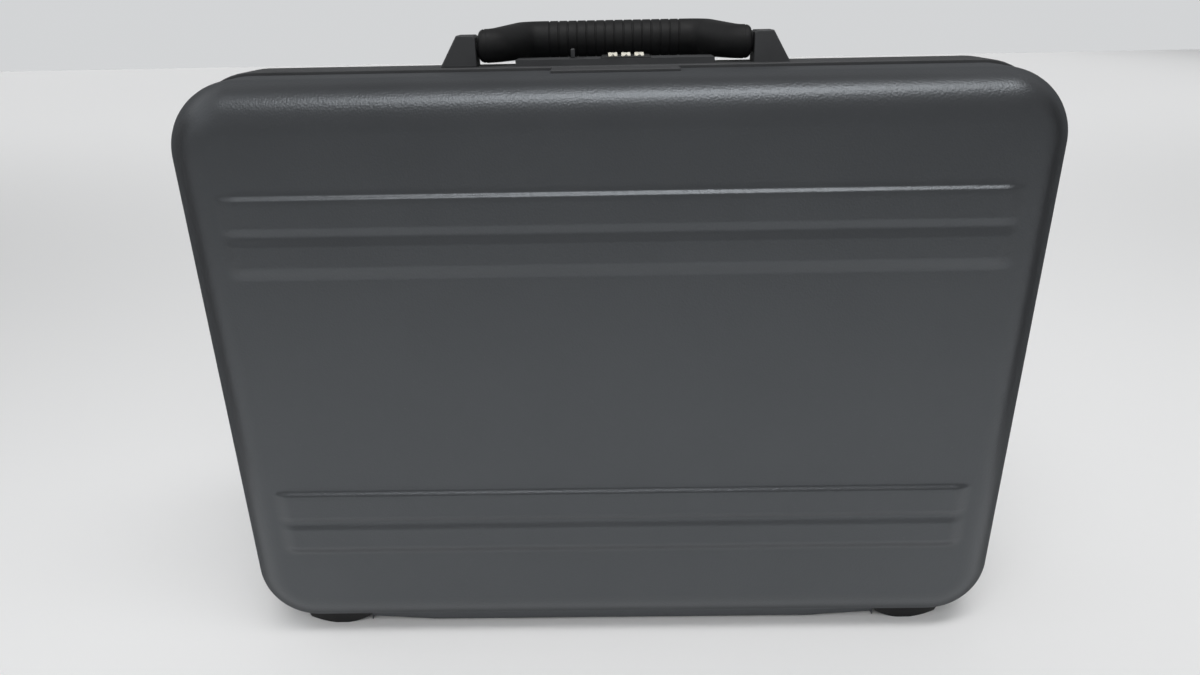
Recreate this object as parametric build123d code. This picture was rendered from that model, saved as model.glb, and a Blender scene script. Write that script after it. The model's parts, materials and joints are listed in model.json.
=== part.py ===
from build123d import *
import math
import os

# Attache case standing on its hinge side. X is the width, -Y the front, Z up.
# The origin lies on the floor, under the middle of the case. All sizes are in millimetres.
# A solid that only cuts reaches 1 mm past the faces it cuts.

# Closed case, without feet and ribs
case_width = 460.0
case_height = 332.0
case_depth = 112.0
corner_radius = 37.4
edge_rounding = 24.4
shell_wall = 3.0
foot_height = 6.0
band_middle_y = 3.6

# Gaps and fits
seam_gap = 1.2
shell_joint_gap = 0.5
snug_gap = 0.1
soft_gap = 0.4
moving_gap = 0.3
running_gap = 0.05
peg_gap = 0.02

# Frames that stiffen the two rims
band_width = 26.8
band_proud = 1.8
band_wall = 4.0
band_front_round = 0.8
band_back_round = 1.6
flange_thickness = 2.0
flange_reach = 13.5
web_wall = 2.5
lid_web_end_gap = 6.6
base_tongue_end_gap = 4.6
seal_width = 1.5
seal_inset = 11.5

# Double ribs pressed into the front and the back: a raised band with a shallow groove along it
rib_relief = 2.5
rib_side_inset = 25.0
rib_end_radius = 4.0
rib_slope = 50.0
rib_groove_depth = 1.2
rib_groove_width = 11.0
rib_groove_drop = 21.7
upper_rib_inset = 54.1
lower_rib_inset = 60.3
rib_height = 43.1

# Feet and the moulded rails between them
foot_width = 40.0
foot_flat = 9.0
foot_side_inset = 48.5
foot_front_inset = 12.5
foot_rim_gap = 1.5
foot_screw_radius = 1.6
foot_screw_head_radius = 3.2
foot_screw_recess = 2.0
foot_screw_head_height = 2.2
foot_screw_length = 10.0
foot_screw_slot_width = 0.8
foot_screw_slot_length = 4.4
foot_screw_slot_depth = 0.8
rail_height = 3.5
rail_clearance = 0.5

# Long hinge in the seam at the bottom
hinge_side_inset = 50.0
hinge_knuckles = 9
knuckle_radius = 2.5
knuckle_gap = 0.5
hinge_pin_radius = 1.2
hinge_pin_head_radius = 2.0
hinge_pin_head = 1.0
hinge_wrap_clearance = 0.4
leaf_thickness = 1.0
leaf_gap = 0.2
leaf_rebate = 0.5
leaf_rivets = 8
leaf_rivet_end_inset = 33.0
leaf_rivet_radius = 1.5
leaf_rivet_head_radius = 2.5
leaf_rivet_head = 0.8
leaf_margin = 0.3

# Lid stays: slotted bars from a pivot on the lid to a stud on the base
lid_open_angle = 95.0
stay_start_angle = 10.0
stay_half_width = 4.0
stay_back_inset = 9.14
stay_thickness = 1.2
stay_stud_radius = 1.5
stay_pivot_radius = 2.0
stay_spacer_radius = 3.0
stay_foot_radius = 3.4
stay_foot_thickness = 1.5
stay_head_radius = 3.2
stay_head_thickness = 1.0

# Handle, lying back on the case
handle_axis_height = 11.9
handle_end_run = 7.7
grip_corner_x = 50.0
handle_bow = 30.0
handle_end_bend = 9.2
grip_bend = 14.0
handle_end_radius = 8.7
grip_radius = 10.0
grip_rest_gap = 3.2
core_radius = 4.5
core_end_cover = 2.2
ferrule_length = 3.8
ferrule_step = 2.4
ferrule_ring_gap = 0.4
ferrule_round = 1.2
grip_grooves = 15
groove_pitch = 5.2
groove_width = 0.9
groove_depth = 0.5

# Handle posts and pivot pins
post_inner_x = 74.0
post_base_length = 19.5
post_top_length = 10.0
post_height = 17.7
post_side_gap = 5.9
post_top_chamfer = 1.2
post_edge_round = 0.8
pivot_radius = 2.5
pivot_depth_in_handle = 6.0
pivot_depth_in_post = 10.5
post_screw_radius = 1.6
post_screw_head_radius = 3.0
post_screw_head = 1.8
post_screw_depth = 7.0
post_screw_spacing = 7.6
post_screw_inset = 6.0
post_screw_end_gap = 1.0

# Lock housing on the middle of the top band
lock_half_length = 53.0
lock_set_back = 4.8
lock_depth = 17.2
lock_top_height = 5.0
lock_below = 20.0
lock_wall = 1.8
lock_cavity_half_length = 43.0
lock_cavity_top = 2.5
lock_plate_thickness = 1.5
lock_plate_half_length = 50.4
lock_shoulder_length = 7.0
lock_shoulder_thickness = 5.5
lock_screw_radius = 1.4
lock_screw_head_radius = 2.6
lock_screw_head = 1.6
lock_screw_length = 8.0
lock_screw_end_cover = 1.0
plate_screw_x = 46.8

# Number dials
dial_count = 3
dial_pitch = 7.1
dial_middle_x = 6.0
dial_radius = 7.2
dial_width = 5.0
dial_top_height = 7.5
dial_side_gap = 0.3
dial_rim_gap = 0.5
dial_faces = 10
dial_notch_radius = 0.6
axle_radius = 1.5
axle_overhang = 3.0
bezel_margin = 3.4
bezel_depth = 15.6
bezel_thickness = 1.0
bezel_window_depth = 12.0

# Release slide with its knob and hooks
release_travel = 5.0
knob_x = -22.6
knob_width = 2.0
knob_depth = 7.0
knob_top_height = 9.8
knob_round = 0.5
bar_left_x = -42.5
bar_end_gap = 0.5
bar_depth = 4.0
bar_back_inset = 10.8
bar_height = 6.0
bar_drop = 15.0
hook_thickness = 2.0
hook_reach = 3.5
hook_front_gap = 1.0
hook_finger_height = 2.8
hook_finger_depth = 2.2
hook_start = 8.0
spring_half_length = 12.0
spring_thickness = 0.5
spring_width = 4.0

# Strike plate and strikers on the lid
strike_half_length = 33.0
strike_front_gap = 2.2
strike_thickness = 1.5
strike_back_gap = 0.6
strike_round = 0.5
strike_peg_radius = 2.0
strike_peg_x = 22.0
striker_x = 27.0
striker_thickness = 2.0
striker_height = 6.0
striker_top_drop = 4.0
striker_tip_length = 0.7
striker_pad_half = 5.0
striker_pad_thickness = 0.7
striker_peg_radius = 1.2
striker_peg_x = 3.4
striker_window_height = 3.6
striker_window_gap = 0.3
striker_mouth_gap = 0.6

# Linings, pocket and strap inside
lining_thickness = 1.4
pocket_side_inset = 45.0
pocket_bottom = 54.0
pocket_top_inset = 108.0
pocket_wall = 1.2
pocket_thickness = 6.0
pocket_corner = 12.0
strap_side_inset = 54.0
strap_top_inset = 138.0
strap_width = 25.0
strap_thickness = 1.2
anchor_length = 22.0
anchor_width = 30.0
anchor_thickness = 2.0
buckle_length = 34.0
buckle_width = 31.0
buckle_thickness = 3.0
buckle_bar = 4.0

# Places worked out from the sizes above
bottom_z = foot_height
top_z = bottom_z + case_height
middle_z = bottom_z + case_height / 2
front_y = -case_depth / 2
back_y = case_depth / 2
band_front_y = band_middle_y - band_width / 2
band_back_y = band_middle_y + band_width / 2
lid_rim_y = band_front_y - seam_gap
base_rim_y = band_back_y + shell_joint_gap
band_top_z = top_z + band_proud
band_inner_offset = band_wall - band_proud
seam_middle_y = (lid_rim_y + band_front_y) / 2
hinge_z = bottom_z - band_proud
lid_web_outer = shell_wall + snug_gap
lid_web_inner = lid_web_outer + web_wall
lid_web_length = lid_rim_y - (front_y + edge_rounding) - lid_web_end_gap
base_tongue_outer = shell_wall + snug_gap
base_tongue_inner = base_tongue_outer + web_wall
base_tongue_length = (back_y - edge_rounding) - band_back_y - base_tongue_end_gap
hinge_length = case_width - 2 * hinge_side_inset
foot_spacing = case_width - 2 * foot_side_inset
foot_length = back_y - foot_front_inset - base_rim_y - foot_rim_gap
stay_end_turn = math.radians(stay_start_angle + lid_open_angle / 2)
stay_reach = back_y - stay_back_inset - stay_half_width - moving_gap - seam_middle_y
stay_arm = stay_reach / (2 * math.sin(stay_end_turn) - math.sin(math.radians(stay_start_angle)))
leaf_rivet_z = bottom_z + lid_web_inner + leaf_margin + leaf_rivet_head_radius
leaf_top_z = leaf_rivet_z + leaf_rivet_head_radius + leaf_margin


def block(x_low, x_high, y_low, y_high, z_low, z_high):
    """Box between two corners."""
    middle = ((x_low + x_high) / 2, (y_low + y_high) / 2, (z_low + z_high) / 2)
    return Pos(*middle) * Box(x_high - x_low, y_high - y_low, z_high - z_low)


def rod_x(radius, x_low, x_high, y, z):
    """Round rod along X."""
    return Pos((x_low + x_high) / 2, y, z) * Rot(0, 90, 0) * Cylinder(radius, x_high - x_low)


def rod_y(radius, y_low, y_high, x, z):
    """Round rod along Y."""
    return Pos(x, (y_low + y_high) / 2, z) * Rot(90, 0, 0) * Cylinder(radius, y_high - y_low)


def rod_z(radius, z_low, z_high, x, y):
    """Round rod along Z."""
    return Pos(x, y, (z_low + z_high) / 2) * Cylinder(radius, z_high - z_low)


def both_sides(solid):
    """A solid and its mirror image across the middle plane."""
    return solid + mirror(solid, Plane.YZ)


def front_plane(y, z=middle_z):
    """Plane whose x is X and whose y is Z, facing the front."""
    return Plane(origin=(0, y, z), x_dir=(1, 0, 0), z_dir=(0, -1, 0))


def slab(offset, y_low, y_high):
    """Full prism of the case's outline, moved inwards by offset."""
    outline = RectangleRounded(
        case_width - 2 * offset,
        case_height - 2 * offset,
        corner_radius - offset,
    )
    return extrude(front_plane(y_high) * outline, y_high - y_low)


def ring(outer_offset, inner_offset, y_low, y_high):
    """Closed ring that follows the case's outline."""
    return slab(outer_offset, y_low, y_high) - slab(inner_offset, y_low, y_high)


def case_form(offset):
    """Whole rounded body of the case, moved inwards by offset."""
    body = slab(offset, front_y + offset, back_y - offset)
    loops = body.faces().sort_by(Axis.Y)[0].edges() + body.faces().sort_by(Axis.Y)[-1].edges()
    return fillet(loops, edge_rounding - offset)


def region(y_low, y_high):
    """Space around the case between two depths."""
    return block(-case_width, case_width, y_low, y_high, -case_height, 2 * case_height)


outer_form = case_form(0)
inner_form = case_form(shell_wall)
lid_side = region(front_y - 1, lid_rim_y)
base_side = region(base_rim_y, back_y + 1)
hinge_pocket = rod_x(
    knuckle_radius + hinge_wrap_clearance,
    -hinge_length / 2 - 2 * hinge_pin_head,
    hinge_length / 2 + 2 * hinge_pin_head,
    seam_middle_y,
    hinge_z,
)


# Shells

def double_rib(high):
    """Raised band with sloped sides below a height, and a V-shaped groove along it."""
    rib_length = case_width - 2 * rib_side_inset
    face = RectangleRounded(rib_length, rib_height, rib_end_radius)
    band = extrude(front_plane(front_y, high - rib_height / 2) * face, rib_relief, taper=rib_slope)
    crest_y = front_y - rib_relief
    groove_z = high - rib_groove_drop
    half = rib_groove_width / 2
    corners = [
        (crest_y - 1, groove_z + half),
        (crest_y, groove_z + half),
        (crest_y + rib_groove_depth, groove_z),
        (crest_y, groove_z - half),
        (crest_y - 1, groove_z - half),
    ]
    side = Plane(origin=(-rib_length / 2, 0, 0), x_dir=(0, 1, 0), z_dir=(1, 0, 0))
    return band - extrude(side * make_face(Polyline(corners + [corners[0]])), rib_length)


def front_ribs():
    return double_rib(top_z - upper_rib_inset) + double_rib(bottom_z + lower_rib_inset + rib_height)


def rail():
    """Moulded rail under the front half, between the feet."""
    half = foot_spacing / 2 - foot_width / 2 - rail_clearance
    rail_front = -case_depth / 2 + foot_front_inset
    rail_back = rail_front + foot_length
    bar = block(-half, half, rail_front, rail_back, bottom_z - rail_height, bottom_z + edge_rounding / 2)
    return bar - outer_form


def foot_screw_place():
    return foot_spacing / 2, front_y + foot_front_inset + foot_length / 2


def foot_screw_hole(radius):
    x, y = foot_screw_place()
    return both_sides(rod_z(radius, -1, foot_screw_recess + foot_screw_length + 1, x, y))


def make_lid_shell():
    shell = (outer_form - inner_form) & lid_side
    shell += front_ribs()
    shell += rail()
    shell -= foot_screw_hole(foot_screw_radius + peg_gap)
    shell -= hinge_pocket
    shell -= leaf_rebate_space(lid_rim_y - leaf_rebate, lid_rim_y)
    shell -= strike_pegs(strike_peg_radius + peg_gap)
    return shell


def make_base_shell():
    shell = (outer_form - inner_form) & base_side
    shell += mirror(front_ribs(), Plane.XZ)
    shell += mirror(rail(), Plane.XZ)
    shell -= mirror(foot_screw_hole(foot_screw_radius + peg_gap), Plane.XZ)
    return shell


# Frames and seal

def leaf_rebate_space(y_low, y_high):
    """Shallow step in a rim where a hinge leaf lies."""
    half = hinge_length / 2 + knuckle_gap
    return block(-half, half, y_low, y_high, 0, leaf_top_z + snug_gap)


def make_lid_frame():
    frame = ring(lid_web_outer, lid_web_inner, lid_rim_y - lid_web_length, lid_rim_y)
    frame += ring(lid_web_outer, flange_reach, lid_rim_y - flange_thickness, lid_rim_y)
    frame -= hinge_pocket
    frame -= leaf_rebate_space(lid_rim_y - leaf_rebate, lid_rim_y)
    frame -= leaf_rivet_row(leaf_rivet_radius + peg_gap, region(lid_rim_y - lid_web_length, lid_rim_y))
    for side in (-1, 1):
        frame -= striker_pegs(side * striker_x, striker_peg_radius + peg_gap)
    return frame


def make_lid_seal():
    return ring(seal_inset, seal_inset + seal_width, lid_rim_y, band_front_y - moving_gap)


def make_base_frame():
    band = slab(-band_proud, band_front_y, band_back_y)
    band = fillet(band.faces().sort_by(Axis.Y)[0].edges(), band_front_round)
    band = fillet(band.faces().sort_by(Axis.Y)[-1].edges(), band_back_round)
    frame = band - slab(band_inner_offset, band_front_y, band_back_y)
    frame += ring(shell_wall / 2, flange_reach, band_front_y, band_front_y + flange_thickness)
    frame += ring(shell_wall / 2, base_tongue_inner, band_back_y - shell_wall, band_back_y)
    tongue_end = band_back_y + base_tongue_length
    frame += ring(base_tongue_outer, base_tongue_inner, band_back_y - shell_wall, tongue_end)
    frame -= hinge_pocket
    frame -= leaf_rebate_space(band_front_y, band_front_y + leaf_rebate)
    frame -= leaf_rivet_row(leaf_rivet_radius + peg_gap, region(band_front_y, band_back_y))
    frame -= lock_cutout()
    frame -= striker_mouths(band_front_y - 1, band_front_y + flange_thickness + 1)
    frame -= lock_screw_row(lock_screw_radius + peg_gap, 0)
    frame -= post_screw_row(post_screw_radius + peg_gap, 0)
    return frame


# Hinge

def knuckle(index):
    """Tube of one knuckle, counted from the left end."""
    pitch = hinge_length / hinge_knuckles
    first = -hinge_length / 2 + index * pitch + knuckle_gap / 2
    return rod_x(knuckle_radius, first, first + pitch - knuckle_gap, seam_middle_y, hinge_z)


def hinge_leaf(first_knuckle, y_low, y_high):
    """Leaf with every second knuckle. It lies flat in the seam above them."""
    half = hinge_length / 2
    clear_z = hinge_z + knuckle_radius + hinge_wrap_clearance
    leaf = block(-half, half, y_low, y_high, clear_z, leaf_top_z)
    pitch = hinge_length / hinge_knuckles
    for index in range(first_knuckle, hinge_knuckles, 2):
        left = -half + index * pitch
        leaf += knuckle(index)
        leaf += block(left + knuckle_gap / 2, left + pitch - knuckle_gap / 2, y_low, y_high, hinge_z, clear_z)
    leaf -= rod_x(hinge_pin_radius + running_gap, -half, half, seam_middle_y, hinge_z)
    return leaf


def make_hinge_lid_leaf():
    back = seam_middle_y - leaf_gap / 2
    leaf = hinge_leaf(0, back - leaf_thickness, back)
    return leaf - leaf_rivet_row(leaf_rivet_radius + peg_gap, region(back - leaf_thickness, back))


def make_hinge_base_leaf():
    front = seam_middle_y + leaf_gap / 2
    leaf = hinge_leaf(1, front, front + leaf_thickness)
    return leaf - leaf_rivet_row(leaf_rivet_radius + peg_gap, region(front, front + leaf_thickness))


def make_hinge_pin():
    half = hinge_length / 2
    pin = rod_x(hinge_pin_radius, -half, half, seam_middle_y, hinge_z)
    head = rod_x(hinge_pin_head_radius, half, half + hinge_pin_head, seam_middle_y, hinge_z)
    return pin + both_sides(head)


def leaf_rivet_row(radius, part_of_seam):
    """Shanks of the rivets that hold a leaf, cut to one side of the seam."""
    row = Part()
    first = -hinge_length / 2 + leaf_rivet_end_inset
    spacing = -2 * first / (leaf_rivets - 1)
    for index in range(leaf_rivets):
        x = first + index * spacing
        row += rod_y(radius, front_y, back_y, x, leaf_rivet_z) & part_of_seam
    return row


def make_hinge_lid_rivets():
    heads_y = lid_rim_y - flange_thickness
    rivets = leaf_rivet_row(leaf_rivet_radius, region(heads_y, seam_middle_y - leaf_gap))
    return rivets + leaf_rivet_row(leaf_rivet_head_radius, region(heads_y - leaf_rivet_head, heads_y))


def make_hinge_base_rivets():
    heads_y = band_front_y + flange_thickness
    rivets = leaf_rivet_row(leaf_rivet_radius, region(seam_middle_y + leaf_gap, heads_y))
    return rivets + leaf_rivet_row(leaf_rivet_head_radius, region(heads_y, heads_y + leaf_rivet_head))


# Feet

def make_front_foot():
    """Right foot of the lid: a bar with a lens-shaped section, cut to the shell."""
    half = foot_width / 2
    rise = foot_height
    lens_radius = (half ** 2 - (foot_flat / 2) ** 2 + rise ** 2) / (2 * rise)
    lens_radius = math.hypot(lens_radius, foot_flat / 2)
    centre_z = math.sqrt(lens_radius ** 2 - (foot_flat / 2) ** 2)
    x = foot_spacing / 2
    foot_front = front_y + foot_front_inset
    lens = rod_y(lens_radius, foot_front, foot_front + foot_length, x, centre_z)
    foot_back = foot_front + foot_length
    foot = lens & block(x - half, x + half, foot_front, foot_back, 0, bottom_z + edge_rounding / 2)
    foot -= outer_form
    screw_x, screw_y = foot_screw_place()
    foot -= rod_z(foot_screw_radius + peg_gap, -1, foot_height + 1, screw_x, screw_y)
    head_top = foot_screw_recess + foot_screw_head_height
    foot -= rod_z(foot_screw_head_radius + moving_gap, -1, head_top, screw_x, screw_y)
    return foot


def make_front_foot_screws():
    x, y = foot_screw_place()
    head_top = foot_screw_recess + foot_screw_head_height
    screw = rod_z(foot_screw_head_radius, foot_screw_recess, head_top, x, y)
    screw += rod_z(foot_screw_radius, foot_screw_recess, foot_height + shell_wall + soft_gap / 2, x, y)
    half_width = foot_screw_slot_width / 2
    half_length = foot_screw_slot_length / 2
    slot_top = foot_screw_recess + foot_screw_slot_depth
    screw -= block(x - half_width, x + half_width, y - half_length, y + half_length, 0, slot_top)
    return both_sides(screw)


# Lid stays

def stay_point(angle):
    """Point on the stay circle about the hinge, measured from upright towards the back."""
    y = seam_middle_y + stay_arm * math.sin(math.radians(angle))
    z = hinge_z + stay_arm * math.cos(math.radians(angle))
    return y, z


stay_pivot_y, stay_pivot_z = stay_point(-stay_start_angle)
stay_stud_y, stay_stud_z = stay_point(stay_start_angle)


def stay_outer_side():
    """The stay passes inside the rounded corner of the frames' flanges, also when the lid is fully open."""
    half_open = math.radians(lid_open_angle / 2)
    crossing_z = stay_stud_z - (stay_stud_y - band_front_y) * math.tan(half_open)
    lowest_z = crossing_z - stay_half_width / math.cos(half_open)
    drop = bottom_z + corner_radius - lowest_z
    flange_radius = corner_radius - flange_reach
    corner_x = case_width / 2 - corner_radius
    return corner_x + math.sqrt(flange_radius ** 2 - drop ** 2) - moving_gap


stay_inner_x = stay_outer_side() - stay_thickness


def make_stay():
    """Right stay: round hole at the lid pivot, slot for the base stud."""
    first = 2 * stay_arm * math.sin(math.radians(stay_start_angle))
    last = 2 * stay_arm * math.sin(stay_end_turn)
    slot_start = first - moving_gap
    slot_end = last + moving_gap
    side = Plane(origin=(stay_inner_x, stay_pivot_y, stay_pivot_z), x_dir=(0, 1, 0), z_dir=(1, 0, 0))
    outline = Pos(slot_end / 2, 0) * SlotCenterToCenter(slot_end, 2 * stay_half_width)
    slot = Pos((slot_start + slot_end) / 2, 0) * SlotCenterToCenter(
        slot_end - slot_start,
        2 * (stay_stud_radius + moving_gap),
    )
    hole = Circle(stay_pivot_radius + running_gap)
    return extrude(side * (outline - slot - hole), stay_thickness)


def stay_stud(shank_radius, wall_offset, y, z):
    """Right stepped stud: foot shaped to the wall, spacer, shank through the stay, head."""
    wall_x = case_width / 2 - wall_offset
    outer_side = stay_inner_x + stay_thickness + moving_gap
    inner_side = stay_inner_x - moving_gap
    stud = rod_x(stay_foot_radius, wall_x - stay_foot_thickness, wall_x, y, z)
    stud += rod_x(stay_spacer_radius, outer_side, wall_x, y, z)
    stud += rod_x(shank_radius, inner_side - stay_head_thickness, wall_x, y, z)
    stud += rod_x(stay_head_radius, inner_side - stay_head_thickness, inner_side, y, z)
    return stud & slab(wall_offset, front_y, back_y)


def make_stay_lid_pivot():
    return stay_stud(stay_pivot_radius, lid_web_inner, stay_pivot_y, stay_pivot_z)


def make_stay_base_stud():
    return stay_stud(stay_stud_radius, band_inner_offset, stay_stud_y, stay_stud_z)


# Handle. It is drawn flat, bowed towards the back, and then laid on its axis.

handle_axis_y = band_middle_y
handle_axis_z = top_z + handle_axis_height
handle_half_length = post_inner_x - moving_gap
handle_corner_x = handle_half_length - handle_end_run
handle_tilt = math.degrees(math.asin((grip_radius + grip_rest_gap - handle_axis_height) / handle_bow))


def laid(solid):
    return Pos(0, handle_axis_y, handle_axis_z) * Rot(handle_tilt, 0, 0) * solid


def handle_path():
    return FilletPolyline(
        (-handle_half_length, 0),
        (-handle_corner_x, 0),
        (-grip_corner_x, handle_bow),
        (grip_corner_x, handle_bow),
        (handle_corner_x, 0),
        (handle_half_length, 0),
        radius=[handle_end_bend, grip_bend, grip_bend, handle_end_bend],
    )


def disc_on(edge, position, radius):
    """Round face square to an edge, at its start (0) or its end (1)."""
    plane = Plane(origin=edge @ position, z_dir=edge % position)
    return plane * Circle(radius)


def grip_outside():
    """Outer form of ferrules and grip: round runs and bends, with tapered arms."""
    edges = handle_path().edges().sort_by(Axis.X)
    radii = [
        (handle_end_radius, handle_end_radius),
        (handle_end_radius, handle_end_radius),
        (handle_end_radius, grip_radius),
        (grip_radius, grip_radius),
        (grip_radius, grip_radius),
    ]
    radii = radii + [(end, start) for start, end in reversed(radii[:4])]
    body = Part()
    for edge, (start, end) in zip(edges, radii):
        if edge.geom_type == GeomType.LINE:
            body += loft([disc_on(edge, 0, start), disc_on(edge, 1, end)])
        else:
            body += sweep(disc_on(edge, 0, start), path=edge)
    return body


def core_rod():
    """Round rod inside the handle. It ends under the ferrules."""
    path = handle_path()
    start = Plane(origin=(-handle_half_length, 0, 0), z_dir=(1, 0, 0))
    rod = sweep(start * Circle(core_radius), path=path)
    return rod - both_sides(beyond(handle_half_length - core_end_cover))


def pivot_bores():
    bore = rod_x(
        pivot_radius + running_gap,
        handle_half_length - pivot_depth_in_handle - moving_gap,
        handle_half_length + 1,
        0,
        0,
    )
    return both_sides(bore)


def beyond(x):
    """Space to the right of a plane, around the handle."""
    return block(x, x + case_width, -2 * handle_bow, 2 * handle_bow, -handle_bow, handle_bow)


def make_handle_core():
    return laid(core_rod() - pivot_bores())


def make_handle_grip():
    grip = grip_outside() - core_rod()
    grip -= both_sides(beyond(handle_half_length - ferrule_length - ferrule_ring_gap))
    first = -groove_pitch * (grip_grooves - 1) / 2
    for index in range(grip_grooves):
        x = first + index * groove_pitch
        cutter = rod_x(grip_radius + 1, x - groove_width / 2, x + groove_width / 2, handle_bow, 0)
        cutter -= rod_x(grip_radius - groove_depth, x - groove_width / 2, x + groove_width / 2, handle_bow, 0)
        grip -= cutter
    return laid(grip)


def make_ferrule():
    """Right end cap of the handle."""
    radius = handle_end_radius - ferrule_step
    cap = rod_x(radius, handle_half_length - ferrule_length, handle_half_length, 0, 0)
    cap = fillet(cap.edges().sort_by(Axis.X)[-1], ferrule_round)
    return laid(cap - core_rod() - pivot_bores())


# Handle posts and their pins

def make_post():
    """Right post: upright on the inside, sloped on the outside."""
    foot_x = post_inner_x + post_base_length
    shoulder_x = post_inner_x + post_top_length
    peak_z = top_z + post_height
    points = [
        (post_inner_x, band_top_z),
        (foot_x, band_top_z),
        (shoulder_x, peak_z),
        (post_inner_x + post_top_chamfer, peak_z),
        (post_inner_x, peak_z - post_top_chamfer),
    ]
    half = band_width / 2 - post_side_gap
    side = Plane(origin=(0, handle_axis_y + half, 0), x_dir=(1, 0, 0), z_dir=(0, -1, 0))
    post = extrude(side * make_face(Polyline(points + [points[0]])), 2 * half)
    rims = post.edges().filter_by(Plane.XZ).filter_by(lambda edge: edge.center().Z > band_top_z + 1)
    post = fillet(rims, post_edge_round)
    post -= rod_x(
        pivot_radius + peg_gap,
        post_inner_x - 1,
        post_inner_x + pivot_depth_in_post,
        handle_axis_y,
        handle_axis_z,
    )
    return post - post_screw_row(post_screw_radius + peg_gap, post_screw_depth)


def make_handle_pin():
    """Right pivot pin, pressed into the post."""
    left = handle_half_length - pivot_depth_in_handle
    return rod_x(pivot_radius, left, post_inner_x + pivot_depth_in_post, handle_axis_y, handle_axis_z)


def post_screw_row(radius, depth):
    """Shanks of the screws that come up through the band into the posts."""
    inner_z = top_z - band_inner_offset
    x = post_inner_x + post_screw_inset
    row = Part()
    for step in (-0.5, 0.5):
        y = handle_axis_y + step * post_screw_spacing
        row += rod_z(radius, inner_z, band_top_z + depth, x, y)
    return both_sides(row)


def make_post_screws():
    inner_z = top_z - band_inner_offset
    heads = post_screw_row(post_screw_head_radius, 0) & block(
        -case_width, case_width, front_y, back_y, inner_z, inner_z + post_screw_head)
    heads = Pos(0, 0, -post_screw_head) * heads
    return post_screw_row(post_screw_radius, post_screw_depth - post_screw_end_gap) + heads


# Lock

lock_front_y = band_front_y + lock_set_back
lock_back_y = lock_front_y + lock_depth
lock_top_z = top_z + lock_top_height
lock_bottom_z = top_z - lock_below
lock_roof_z = top_z - lock_cavity_top
band_inner_z = top_z - band_inner_offset
dial_axis_z = top_z + dial_top_height - dial_radius
dial_axis_y = (lock_front_y + lock_back_y) / 2
bar_bottom_z = top_z - bar_drop
bar_top_z = bar_bottom_z + bar_height
striker_top_z = top_z - striker_top_drop
striker_middle_z = striker_top_z - striker_height / 2
lock_inner_front_y = lock_front_y + lock_wall
lock_inner_back_y = lock_back_y - lock_wall
bar_back_y = lock_front_y + bar_back_inset
knob_middle_y = bar_back_y - bar_depth / 2
hook_front_y = lock_inner_front_y + hook_front_gap
hook_back_y = hook_front_y + hook_finger_depth
shoulder_front_y = band_front_y + flange_thickness + snug_gap
shoulder_end_x = lock_half_length + lock_shoulder_length


def dial_places():
    first = dial_middle_x - dial_pitch * (dial_count - 1) / 2
    return [first + index * dial_pitch for index in range(dial_count)]


def lock_cutout():
    """Opening in the band that the lock housing fills."""
    return block(
        -lock_half_length, lock_half_length,
        lock_front_y, lock_back_y,
        lock_bottom_z, lock_top_z,
    )


def lock_screw_row(radius, extra):
    """Screws through the shoulders of the lock housing, up into the band."""
    x = lock_half_length + lock_shoulder_length / 2
    y = (shoulder_front_y + lock_back_y) / 2
    low = band_inner_z - lock_shoulder_thickness - extra
    return both_sides(rod_z(radius, low, band_top_z - lock_screw_end_cover, x, y))


def make_lock_housing():
    housing = block(-lock_half_length, lock_half_length, lock_front_y, lock_back_y, lock_bottom_z, lock_top_z)
    shoulder = block(
        lock_half_length, shoulder_end_x,
        shoulder_front_y, lock_back_y,
        band_inner_z - lock_shoulder_thickness, band_inner_z,
    )
    housing += both_sides(shoulder)
    housing -= block(
        -lock_cavity_half_length, lock_cavity_half_length,
        lock_inner_front_y, lock_inner_back_y,
        lock_bottom_z, lock_roof_z,
    )
    housing -= block(
        -lock_plate_half_length - snug_gap, lock_plate_half_length + snug_gap,
        lock_inner_front_y, lock_inner_back_y,
        lock_bottom_z, lock_bottom_z + lock_plate_thickness,
    )
    room = dial_width / 2 + dial_side_gap
    reach = dial_radius + dial_rim_gap
    for x in dial_places():
        housing -= block(
            x - room, x + room,
            dial_axis_y - reach, dial_axis_y + reach,
            lock_roof_z - 1, lock_top_z + 1,
        )
    first = dial_places()[0] - dial_width / 2 - axle_overhang
    last = dial_places()[-1] + dial_width / 2 + axle_overhang
    housing -= rod_x(axle_radius + peg_gap, first, last, dial_axis_y, dial_axis_z)
    housing -= block(
        knob_x - knob_width / 2 - moving_gap, knob_x + knob_width / 2 + release_travel + moving_gap,
        bar_back_y - bar_depth - moving_gap, bar_back_y + moving_gap,
        lock_roof_z - 1, lock_top_z + 1,
    )
    housing -= striker_mouths(lock_front_y - 1, lock_inner_front_y + 1)
    housing -= lock_screw_row(lock_screw_radius + peg_gap, 1)
    return housing - plate_screw_row(lock_screw_radius + peg_gap, 0)


def striker_mouths(y_low, y_high):
    """Two openings that the strikers pass through."""
    half = striker_thickness / 2 + striker_mouth_gap
    return both_sides(block(
        striker_x - half, striker_x + half,
        y_low, y_high,
        striker_top_z - striker_height - striker_mouth_gap, striker_top_z + striker_mouth_gap,
    ))


def make_lock_bezel():
    """Raised frame around the dials, with a window for each."""
    room = dial_width / 2 + dial_side_gap
    left = dial_places()[0] - room - bezel_margin
    right = dial_places()[-1] + room + bezel_margin
    half = bezel_depth / 2
    bezel_top = lock_top_z + bezel_thickness
    bezel = block(left, right, dial_axis_y - half, dial_axis_y + half, lock_top_z, bezel_top)
    bezel = chamfer(bezel.faces().sort_by(Axis.Z)[-1].edges(), bezel_thickness / 2)
    window = bezel_window_depth / 2
    for x in dial_places():
        bezel -= block(
            x - room, x + room,
            dial_axis_y - window, dial_axis_y + window,
            lock_top_z - 1, bezel_top + 1,
        )
    return bezel


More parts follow.
